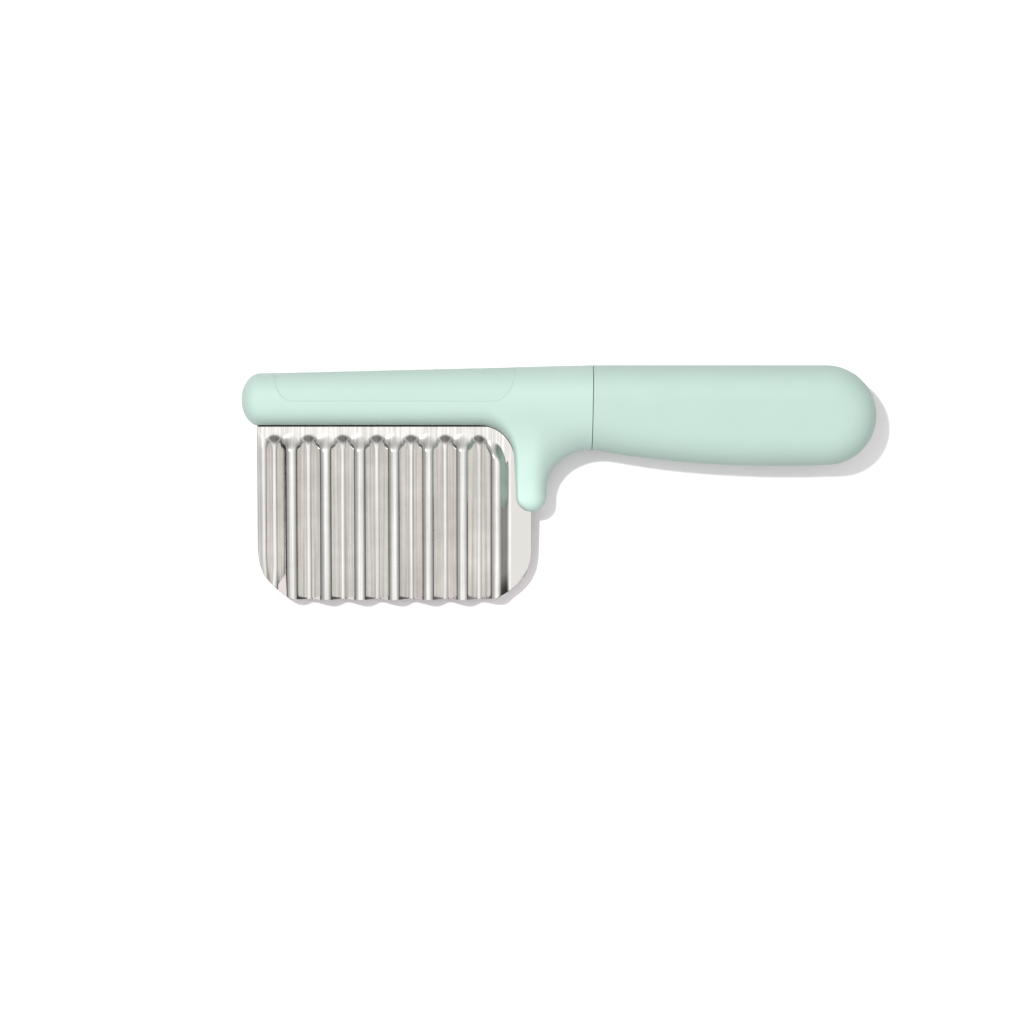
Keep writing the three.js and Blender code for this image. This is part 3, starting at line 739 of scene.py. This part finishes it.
SLOPE = flank_slope()
rear_foot = flank_reach(REAR_SLOPE, FLUTE_RISE + REAR_SINK, CREST_ROUND, REAR_FOOT)


def flank(distance, fall, top_round, foot_round, slope=SLOPE):
    """Height above a flank's foot at a distance from its top."""
    left = flank_reach(slope, fall, top_round, foot_round) - distance
    if left <= 0:
        return 0.0
    if left < foot_round * math.sin(slope):
        return foot_round - math.sqrt(foot_round**2 - left**2)
    if distance < top_round * math.sin(slope):
        return fall - top_round + math.sqrt(top_round**2 - distance**2)
    return foot_round * (1 - math.cos(slope)) + (left - foot_round * math.sin(slope)) * math.tan(slope)


def end_fall(x):
    """How far the flutes' ends drop below the spine at x, round the corner to the guard."""
    along = clamp(x - corner_start, 0, FLUTE_CORNER_SHARE * FLUTE_END_CORNER)
    return FLUTE_END_CORNER - math.sqrt(FLUTE_END_CORNER**2 - along**2)


def front_margin(away):
    """Height of the sheet at a distance in front of the first trough: its flank, a round shoulder and a
    strip that leans down to the front edge."""
    foot = TROUGH_ROUND * math.sin(SLOPE)
    if away < foot:
        return TROUGH_ROUND - math.sqrt(TROUGH_ROUND**2 - away**2) - flute_drop
    climb = TROUGH_ROUND * (1 - math.cos(SLOPE)) - flute_drop
    if away < FRONT_RISE:
        return climb + (away - foot) * math.tan(SLOPE)
    top = FRONT_RISE + FRONT_ROUND * math.sin(SLOPE)
    centre = climb + (FRONT_RISE - foot) * math.tan(SLOPE) - FRONT_ROUND * math.cos(SLOPE)
    end = top + FRONT_ROUND * math.sin(FRONT_LEAN)
    if away < end:
        return centre + math.sqrt(FRONT_ROUND**2 - (away - top)**2)
    return centre + FRONT_ROUND * math.cos(FRONT_LEAN) - (away - end) * math.tan(FRONT_LEAN)


def rear_margin(away):
    """Height of the sheet at a distance behind the last crest: its flank, a wide foot and a strip that
    rises to the rear edge."""
    strip = clamp((away - rear_foot) / (blade_rear - last_crest - rear_foot))
    fall = FLUTE_RISE + REAR_SINK
    return flank(away, fall, CREST_ROUND, REAR_FOOT, REAR_SLOPE) - REAR_SINK * (1 - strip)


def held(value, low, high, soft):
    """A value kept between two bounds, with soft bends at both."""
    raised = (value + low + math.hypot(value - low, soft)) / 2
    return (raised + high - math.hypot(raised - high, soft)) / 2


def flute_height(x, y):
    """Height of the sheet's middle surface: flutes between two margins. At their ends the troughs ramp up
    and the crests ramp down to the flat flange, and both reach highest along their middles. The bends are
    softest half-way up a ramp."""
    if x < first_trough:
        height = front_margin(first_trough - x)
    elif x > last_crest:
        height = rear_margin(x - last_crest)
    else:
        pair = math.floor((x - first_trough) / FLUTE_PITCH)
        crest = first_trough + half_pitch + pair * FLUTE_PITCH
        height = flank(abs(x - crest), flute_depth, CREST_ROUND, TROUGH_ROUND) - flute_drop
    along = (clamp(x, blade_front, last_crest + half_pitch / 2) - first_trough) / half_pitch
    off_middle = (along - round(along)) * half_pitch
    top = UNDERSIDE - FLUTE_END_MARGIN - end_fall(x) - off_middle**2 / (2 * END_BOW)
    low = 1 - ease(top - FLUTE_END_RUN, top, y)
    high = 1 - ease(top - CREST_END_RUN, top, y)
    soft = END_SOFT * 4 * high * (1 - high)
    return held(height, -flute_drop * low, FLUTE_RISE * high, soft)


def sheet_point(x, y, half, side):
    """A point of the sheet's front or back, half a thickness off its middle surface."""
    across = (flute_height(x + SLOPE_SPAN, y) - flute_height(x - SLOPE_SPAN, y)) / (2 * SLOPE_SPAN)
    up = (flute_height(x, y + SLOPE_SPAN) - flute_height(x, y - SLOPE_SPAN)) / (2 * SLOPE_SPAN)
    out = Vector((-across, -up, 1)).normalized() * half * side
    return Vector((x, y, flute_height(x, y))) + out


def lower_edge(x):
    """Height of the sheet's cut edge at x, with its two lower corners."""
    front = max(blade_front + FRONT_CORNER - x, 0)
    rear = max(x - blade_rear + REAR_CORNER, 0)
    front_rise = FRONT_CORNER_RISE * (1 - math.sqrt(max(1 - (front / FRONT_CORNER)**2, 0)))
    return front_rise + REAR_CORNER - math.sqrt(max(REAR_CORNER**2 - rear**2, 0))


def blade_columns():
    """Places across the sheet, closer together at its front and rear cut edges."""
    inner_front = blade_front + EDGE_COLUMNS[-1]
    inner_rear = blade_rear - EDGE_COLUMNS[-1]
    steps = round((inner_rear - inner_front) / FLUTE_PITCH * FLUTE_STEPS)
    middle = [mix(inner_front, inner_rear, i / steps) for i in range(1, steps)]
    front = [blade_front + step for step in EDGE_COLUMNS]
    rear = [blade_rear - step for step in reversed(EDGE_COLUMNS)]
    return front + middle + rear


def blade_rows(x):
    """Heights along one column of the sheet, with its reach to the front and to the back at each. The edge
    is ground from the back."""
    low = lower_edge(x)
    rolled = clamp(low / EDGE_BEVEL)
    bevel = mix(EDGE_BEVEL, CUT_ROUND, rolled)
    start = UNDERSIDE - FLUTE_END_MARGIN - CREST_END_RUN - end_fall(last_crest + CREST_ROUND)
    cut = CUT_HALF if x == blade_front else SHEET_HALF
    front = min(mix(SHEET_HALF - EDGE_SLOPE, CUT_HALF, rolled), cut)
    back = min(mix(EDGE_THICKNESS + EDGE_SLOPE - SHEET_HALF, CUT_HALF, rolled), cut)
    rows = [(low, front, back)]
    rows += [(mix(low + bevel, start, i / PLAIN_ROWS), cut, cut) for i in range(PLAIN_ROWS)]
    rows += [(mix(start, UNDERSIDE, i / END_ROWS), cut, cut) for i in range(END_ROWS + 1)]
    rows += [(flange_top - TANG_WIDTH, cut, cut), (flange_top, cut, cut)]
    return rows


def dull_and_shade_share(x, y):
    """How far the steel takes its dull shade, from 0 to 1: a darker steel on the rear margin, and painted
    shade on a patch behind the first trough at the lower front corner."""
    along = x - first_trough
    shade_patch = ease(*SHADE_PATCH_START, along) * (1 - ease(*SHADE_PATCH_END, along)) * (1 - ease(*SHADE_PATCH_TOP, y))
    return max(shade_patch, ease(rear_foot, rear_foot + MARGIN_BLEND, x - last_crest))


def blade():
    """The fluted sheet with its ground edge, its flange and the tongue that runs into the handle."""
    bm = bmesh.new()
    columns = blade_columns()
    rows = [blade_rows(x) for x in columns]
    count = len(rows[0])
    points = []
    for j in range(count):
        points.append([sheet_point(x, row[j][0], row[j][1], 1) for x, row in zip(columns, rows)])
    for j in reversed(range(count)):
        points.append([sheet_point(x, row[j][0], row[j][2], -1) for x, row in zip(columns, rows)])
    plain = bm.verts.layers.float.new("plain")
    chains = loft(bm, points, False)
    for chain in chains:
        for vert, x in zip(chain, columns):
            # A darker steel on the rear margin, and painted shade on a patch at the lower front corner.
            vert[plain] = dull_and_shade_share(x, vert.co.y)
    bmesh.ops.bridge_loops(bm, edges=edges_of(bm, chains[0], False) + edges_of(bm, chains[-1], False))
    for edge in edges_of(bm, chains[1], False) + edges_of(bm, chains[-2], False):
        edge.smooth = False
    ends = []
    for end in (0, -1):
        for j in range(count - 1):
            corners = [chains[j][end], chains[j + 1][end], chains[-2 - j][end], chains[-1 - j][end]]
            ends += bmesh.ops.contextual_create(bm, geom=corners)["faces"]
    tongue = bmesh.ops.extrude_face_region(bm, geom=[ends[-1]])["geom"]
    bmesh.ops.delete(bm, geom=[ends[-1]], context="FACES_ONLY")
    moved = [v for v in tongue if isinstance(v, bmesh.types.BMVert)]
    bmesh.ops.translate(bm, verts=moved, vec=(TANG_REACH - blade_rear, 0, 0))
    return bm


# Finishes
# Share of the deep pigment used as painted shade in the crevice over the blade
CREVICE_SHADE = 0.02
# How much paler the front of the guard is painted, as painted light
GUARD_LIGHT_LEVEL = 1.22
STREAK_SHADE = 0.93
STREAK_SHARE = 0.7
STREAK_REACH = 0.11
SMEAR_SHARE = 0.3
MOTTLE_SCALE = 90.0
SMEAR_SCALE = 140.0
LINE_SCALE = (7000.0, 160.0, 7000.0)
STREAK_SCALE = (1500.0, 14.0, 300.0)


def add(tree, kind, inputs=(), **settings):
    """Adds a node, with its settings, and with its inputs set or linked."""
    made = tree.nodes.new(kind)
    for key, value in settings.items():
        setattr(made, key, value)
    for key, value in dict(inputs).items():
        if isinstance(value, bpy.types.NodeSocket):
            tree.links.new(value, made.inputs[key])
        else:
            made.inputs[key].default_value = value
    return made


def new_group(name, inputs, outputs):
    group = bpy.data.node_groups.new(name, "ShaderNodeTree")
    for label, kind in inputs:
        group.interface.new_socket(label, in_out="INPUT", socket_type=kind)
    for label in outputs:
        group.interface.new_socket(label, in_out="OUTPUT", socket_type="NodeSocketFloat")
    start = group.nodes.new("NodeGroupInput")
    end = group.nodes.new("NodeGroupOutput")
    return group, start.outputs, end.inputs


def moulded_grain():
    """Fine moulded grain, and a broad faint mottle of the pigment."""
    sockets = (("Place", "NodeSocketVector"), ("Grain Size", "NodeSocketFloat"))
    group, given, wanted = new_group("moulded_grain", sockets, ("Grain", "Mottle"))
    fineness = add(group, "ShaderNodeMath", {0: 1.0, 1: given["Grain Size"]}, operation="DIVIDE")
    grain = add(group, "ShaderNodeTexNoise", {
        "Vector": given["Place"], "Scale": fineness.outputs[0], "Detail": 3.0, "Roughness": 0.6})
    mottle = add(group, "ShaderNodeTexNoise", {
        "Vector": given["Place"], "Scale": MOTTLE_SCALE, "Detail": 4.0, "Roughness": 0.55})
    group.links.new(grain.outputs["Fac"], wanted["Grain"])
    group.links.new(mottle.outputs["Fac"], wanted["Mottle"])
    return group


def polish_lines():
    """Fine lines that polishing leaves in steel, along Y, broader drawn streaks, and faint smears."""
    sockets = (("Place", "NodeSocketVector"),)
    group, given, wanted = new_group("polish_lines", sockets, ("Lines", "Streaks", "Smears"))
    stretched = add(group, "ShaderNodeMapping", {"Vector": given["Place"], "Scale": LINE_SCALE})
    lines = add(group, "ShaderNodeTexNoise", {
        "Vector": stretched.outputs[0], "Scale": 1.0, "Detail": 3.0, "Roughness": 0.65})
    drawn = add(group, "ShaderNodeMapping", {"Vector": given["Place"], "Scale": STREAK_SCALE})
    streaks = add(group, "ShaderNodeTexNoise", {
        "Vector": drawn.outputs[0], "Scale": 1.0, "Detail": 4.0, "Roughness": 0.6})
    smears = add(group, "ShaderNodeTexNoise", {
        "Vector": given["Place"], "Scale": SMEAR_SCALE, "Detail": 5.0, "Roughness": 0.6})
    group.links.new(lines.outputs["Fac"], wanted["Lines"])
    group.links.new(streaks.outputs["Fac"], wanted["Streaks"])
    group.links.new(smears.outputs["Fac"], wanted["Smears"])
    return group


def new_finish(name):
    finish = bpy.data.materials.new(name)
    finish.use_nodes = True
    tree = finish.node_tree
    place = add(tree, "ShaderNodeTexCoord").outputs["Object"]
    return finish, tree, tree.nodes["Principled BSDF"], place


def spread(tree, value, low, high, reach=0.2):
    """Spreads a noise, which keeps near its middle, over a range."""
    return add(tree, "ShaderNodeMapRange", {
        "Value": value, "From Min": 0.5 - reach, "From Max": 0.5 + reach,
        "To Min": low, "To Max": high}).outputs[0]


def blend(tree, factor, first, second):
    """Mixes two colours, each given as a value or as a socket."""
    made = add(tree, "ShaderNodeMix", {"Factor": factor}, data_type="RGBA")
    for socket, colour in zip(made.inputs[6:8], (first, second)):
        if isinstance(colour, bpy.types.NodeSocket):
            tree.links.new(colour, socket)
        else:
            socket.default_value = (*colour, 1)
    return made.outputs[2]


def calc(tree, operation, first, second):
    return add(tree, "ShaderNodeMath", {0: first, 1: second}, operation=operation).outputs[0]


def moulded(name, grain, pale, deep, grain_size, roughness, bump):
    """A moulded plastic or rubber: two close shades of one pigment under a fine grain, with painted light
    that makes the front of the guard paler and painted shade that makes the crevice over the blade
    near-black and dull."""
    finish, tree, shader, place = new_finish(name)
    group = add(tree, "ShaderNodeGroup", {"Place": place, "Grain Size": grain_size}, node_tree=grain)
    colour = blend(tree, spread(tree, group.outputs["Mottle"], 0, 1), deep, pale)
    painted_crevice_shade = add(tree, "ShaderNodeAttribute", attribute_name="painted_crevice_shade").outputs["Fac"]
    painted_guard_light = add(tree, "ShaderNodeAttribute", attribute_name="painted_guard_light").outputs["Fac"]
    # Painted light: the pale pigment made paler at the front of the guard.
    lit = blend(tree, painted_guard_light, colour, [level * GUARD_LIGHT_LEVEL for level in pale])
    # Painted shade: near-black where the crevice over the blade is marked, with the roughness raised there
    # too.
    shaded = blend(tree, painted_crevice_shade, lit, [level * CREVICE_SHADE for level in deep])
    tree.links.new(shaded, shader.inputs["Base Color"])
    grainy = spread(tree, group.outputs["Grain"], *roughness)
    tree.links.new(calc(tree, "MAXIMUM", grainy, painted_crevice_shade), shader.inputs["Roughness"])
    relief = add(tree, "ShaderNodeBump", {
        "Strength": 1.0, "Distance": bump, "Height": group.outputs["Grain"]})
    tree.links.new(relief.outputs[0], shader.inputs["Normal"])
    return finish


def steel(name, lines, bright, dull, roughness, bump):
    """Polished steel: drawn streaks and faint smears in its shade, fine lines in its gloss, and one dull
    shade on the rear margin, which also serves as painted shade on a patch at the lower front corner."""
    finish, tree, shader, place = new_finish(name)
    group = add(tree, "ShaderNodeGroup", {"Place": place}, node_tree=lines)
    shader.inputs["Metallic"].default_value = 1.0
    smeared = spread(tree, group.outputs["Smears"], 0, SMEAR_SHARE)
    drawn = spread(tree, group.outputs["Streaks"], 0, STREAK_SHARE, STREAK_REACH)
    drawn_dull = [level * STREAK_SHADE for level in dull]
    colour = blend(tree, calc(tree, "ADD", smeared, drawn), drawn_dull, bright)
    plain = add(tree, "ShaderNodeAttribute", attribute_name="plain").outputs["Fac"]
    # Painted shade on the marked corner patch, and the darker steel of the rear margin.
    shade = blend(tree, plain, colour, dull)
    tree.links.new(shade, shader.inputs["Base Color"])
    tree.links.new(spread(tree, group.outputs["Lines"], *roughness), shader.inputs["Roughness"])
    relief = add(tree, "ShaderNodeBump", {
        "Strength": 1.0, "Distance": bump, "Height": group.outputs["Lines"]})
    tree.links.new(relief.outputs[0], shader.inputs["Normal"])
    return finish


grain = moulded_grain()
lines = polish_lines()
body_finish = moulded(
    "body_plastic", grain, pale=(0.430, 0.566, 0.511), deep=(0.420, 0.554, 0.499),
    grain_size=0.00025, roughness=(0.54, 0.65), bump=0.000002)
pad_finish = moulded(
    "pad_rubber", grain, pale=(0.426, 0.561, 0.503), deep=(0.412, 0.546, 0.488),
    grain_size=0.0003, roughness=(0.6, 0.72), bump=0.000006)
grip_finish = moulded(
    "grip_rubber", grain, pale=(0.417, 0.552, 0.492), deep=(0.406, 0.539, 0.480),
    grain_size=0.0003, roughness=(0.62, 0.75), bump=0.000006)
blade_finish = steel(
    "blade_steel", lines, bright=(0.77, 0.755, 0.728), dull=(0.56, 0.545, 0.52),
    roughness=(0.10, 0.16), bump=0.0000004)
fastener_finish = steel(
    "fastener_steel", lines, bright=(0.62, 0.62, 0.62), dull=(0.56, 0.56, 0.57),
    roughness=(0.25, 0.4), bump=0.000001)

sheet = finish_piece(blade(), "fluted_blade", blade_finish, "blade")
front = finish_piece(half_shell(columns, 1), "front_shell", body_finish, "front_body_shell")
back = finish_piece(half_shell(columns, -1), "back_shell", body_finish, "back_body_shell")
pad = finish_piece(press_pad(), "press_pad", pad_finish, "spine_pad")
grip = finish_piece(grip_sleeve(columns), "soft_grip", grip_finish, "grip_sleeve")
pieces = (sheet, front, back, pad, grip)
for name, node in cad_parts.items():
    if name.startswith(("blade_dowel", "core_screw")):
        node.data.materials.clear()
        node.data.materials.append(fastener_finish)

# The tool lies a little tilted, with its cutting edge nearer the floor, and is seen from straight above it.
TILT = math.radians(5.4)
VIEW_DISTANCE = 1.0
VIEW_WIDTH = 0.2988
SENSOR_WIDTH = 36
VIEW_MIDDLE = Vector((-0.0138, -0.0087, BENCH.z))
above = Vector((0, math.sin(TILT), math.cos(TILT)))


def camera():
    data = bpy.data.cameras.new("camera")
    data.sensor_width = SENSOR_WIDTH
    data.lens = SENSOR_WIDTH * VIEW_DISTANCE / VIEW_WIDTH
    made = bpy.data.objects.new("camera", data)
    made.location = VIEW_MIDDLE + above * VIEW_DISTANCE
    made.rotation_euler = (-TILT, 0, 0)
    bpy.context.scene.collection.objects.link(made)
    bpy.context.scene.camera = made


FLOOR_HALF = 0.22
FLOOR_COLOUR = (0.945, 0.905, 0.922, 1)


def floor():
    """A wide pale plane that the tool touches at its lowest point, square to the view."""
    lowest = min(vert.co.dot(above) for piece in pieces for vert in piece.data.vertices)
    bm = bmesh.new()
    bmesh.ops.create_grid(bm, x_segments=1, y_segments=1, size=FLOOR_HALF)
    bmesh.ops.rotate(bm, verts=bm.verts[:], matrix=Matrix.Rotation(-TILT, 3, "X"))
    bmesh.ops.translate(bm, verts=bm.verts[:], vec=above * lowest)
    mesh = bpy.data.meshes.new("floor")
    bm.to_mesh(mesh)
    bm.free()
    made = bpy.data.objects.new("floor", mesh)
    bpy.context.scene.collection.objects.link(made)
    finish = bpy.data.materials.new("floor_white")
    finish.use_nodes = True
    shader = finish.node_tree.nodes["Principled BSDF"]
    shader.inputs["Base Color"].default_value = FLOOR_COLOUR
    shader.inputs["Roughness"].default_value = 1.0
    shader.inputs["Specular IOR Level"].default_value = 0.0
    mesh.materials.append(finish)


KEY_PLACE = Vector((-0.45, 0.36, 1.45))
KEY_SIZE = 0.095
KEY_POWER = 16.4


def key_light():
    """A small bright lamp up to the left, placed square to the floor."""
    data = bpy.data.lights.new("key", "AREA")
    data.shape = "DISK"
    data.size = KEY_SIZE
    data.energy = KEY_POWER
    made = bpy.data.objects.new("key", data)
    made.location = Matrix.Rotation(-TILT, 3, "X") @ KEY_PLACE
    made.rotation_mode = "QUATERNION"
    made.rotation_quaternion = (-made.location).to_track_quat("-Z", "Y")
    bpy.context.scene.collection.objects.link(made)


# Light of the room by direction. A soft step is start below low and end above high. The soft box overhead
# is seen in the blade. Its middle is an angle from straight up towards +X, and its step is by the angle off
# that. The room's own step is by height, and the shares of the light are by how far a direction is towards
# +Y.
SoftStep = namedtuple("SoftStep", "low high start end")
ROOM = SoftStep(low=0.1, high=0.48, start=0.02, end=0.6)
SOFT_BOX_ANGLE = math.radians(6)
SOFT_BOX = SoftStep(low=math.radians(6), high=math.radians(60), start=0.8, end=0.0)
LOWER_SHARE = SoftStep(low=-0.78, high=-0.46, start=0.22, end=1.0)
UPPER_SHARE = SoftStep(low=0.3, high=0.8, start=1.0, end=0.5)
BACKDROP_LEVEL = 1.2


def stepped(tree, value, step):
    return add(tree, "ShaderNodeMapRange", {
        "Value": value, "From Min": step.low, "From Max": step.high,
        "To Min": step.start, "To Max": step.end},
        interpolation_type="SMOOTHSTEP").outputs[0]


def studio():
    """A dim white room under one long soft box, darker towards both ends of the box. The camera sees an even
    backdrop instead."""
    world = bpy.data.worlds.new("studio")
    world.use_nodes = True
    bpy.context.scene.world = world
    tree = world.node_tree
    direction = add(tree, "ShaderNodeTexCoord").outputs["Generated"]
    split = add(tree, "ShaderNodeSeparateXYZ", {0: direction}).outputs
    turn = calc(tree, "ARCTAN2", split["X"], split["Z"])
    aside = calc(tree, "SUBTRACT", turn, SOFT_BOX_ANGLE)
    off = add(tree, "ShaderNodeMath", {0: aside}, operation="ABSOLUTE").outputs[0]
    light = calc(tree, "ADD", stepped(tree, split["Z"], ROOM), stepped(tree, off, SOFT_BOX))
    for share in (LOWER_SHARE, UPPER_SHARE):
        light = calc(tree, "MULTIPLY", light, stepped(tree, split["Y"], share))
    seen = add(tree, "ShaderNodeLightPath").outputs["Is Camera Ray"]
    strength = add(tree, "ShaderNodeMix", {"Factor": seen, 2: light, 3: BACKDROP_LEVEL}).outputs[0]
    backdrop = tree.nodes["Background"]
    backdrop.inputs["Color"].default_value = (1, 1, 1, 1)
    tree.links.new(strength, backdrop.inputs["Strength"])


camera()
floor()
key_light()
studio()
bpy.context.scene.view_settings.view_transform = "Standard"
